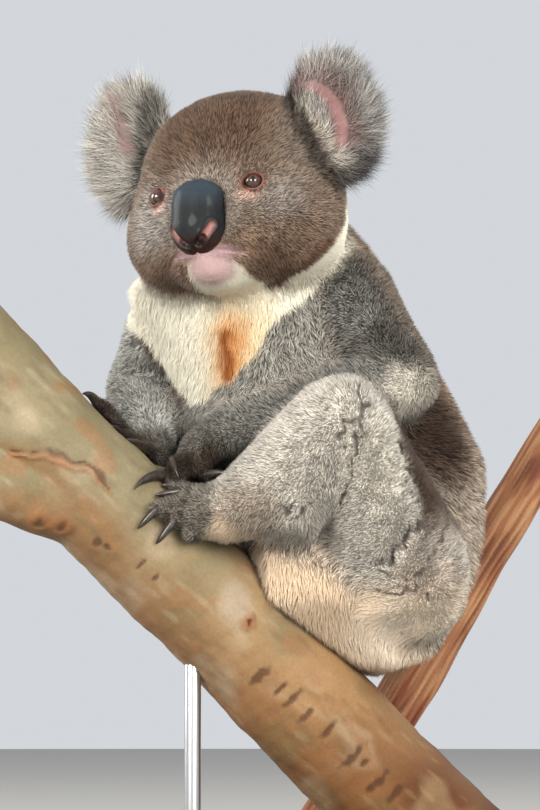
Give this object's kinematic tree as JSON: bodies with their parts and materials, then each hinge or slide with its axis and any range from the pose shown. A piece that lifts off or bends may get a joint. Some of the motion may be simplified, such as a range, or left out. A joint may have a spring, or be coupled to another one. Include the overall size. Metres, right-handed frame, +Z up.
{
  "type": "koala model",
  "caption": "Life-size still koala that sits in the fork of a smooth gum branch, held over a round base by steel rods.",
  "frame": {"origin": "middle of the stand's underside, on the surface it stands on", "axes": "+Z up, -Y the way the koala's chest and face are turned (the face 15 degrees towards +X), +X the koala's left"},
  "size_m": [0.37, 0.5078, 0.6543],
  "materials": {
    "grey_fur": "dense woolly grey coat, matt",
    "brown_fur": "dense short brown-grey coat, matt",
    "nose_skin": "bare pebbled skin, slightly moist",
    "claw_horn": "dark polished horn",
    "wet_eye": "wet brown eye",
    "gum_bark": "smooth mottled gum bark",
    "red_bark": "smooth red-brown bark",
    "stand_wood": "dark stained and lacquered wood",
    "stand_steel": "satin steel rod"
  },
  "bodies": {
    "root": {"stand_base": "stand_wood", "stand_rod_1": "stand_steel", "stand_rod_2": "stand_steel", "perch_limb": "gum_bark", "perch_stem": "red_bark", "head": "brown_fur", "nose": "nose_skin", "eye_left": "wet_eye", "eye_right": "wet_eye", "ear_left": "grey_fur", "ear_right": "grey_fur", "neck": "grey_fur", "trunk": "grey_fur", "upper_arm_left": "grey_fur", "upper_arm_right": "grey_fur", "forearm_left": "grey_fur", "forearm_right": "grey_fur", "hand_left": "grey_fur", "hand_right": "grey_fur", "thigh_left": "grey_fur", "thigh_right": "grey_fur", "shank_left": "grey_fur", "shank_right": "grey_fur", "foot_left": "grey_fur", "foot_right": "grey_fur", "claw_hand_left_1": "claw_horn", "claw_hand_left_2": "claw_horn", "claw_hand_left_3": "claw_horn", "claw_hand_left_4": "claw_horn", "claw_hand_left_5": "claw_horn", "claw_hand_right_1": "claw_horn", "claw_hand_right_2": "claw_horn", "claw_hand_right_3": "claw_horn", "claw_hand_right_4": "claw_horn", "claw_hand_right_5": "claw_horn", "claw_foot_left_1": "claw_horn", "claw_foot_left_2": "claw_horn", "claw_foot_left_3": "claw_horn", "claw_foot_left_4": "claw_horn", "claw_foot_right_1": "claw_horn", "claw_foot_right_2": "claw_horn", "claw_foot_right_3": "claw_horn", "claw_foot_right_4": "claw_horn"}
  },
  "joints": []
}
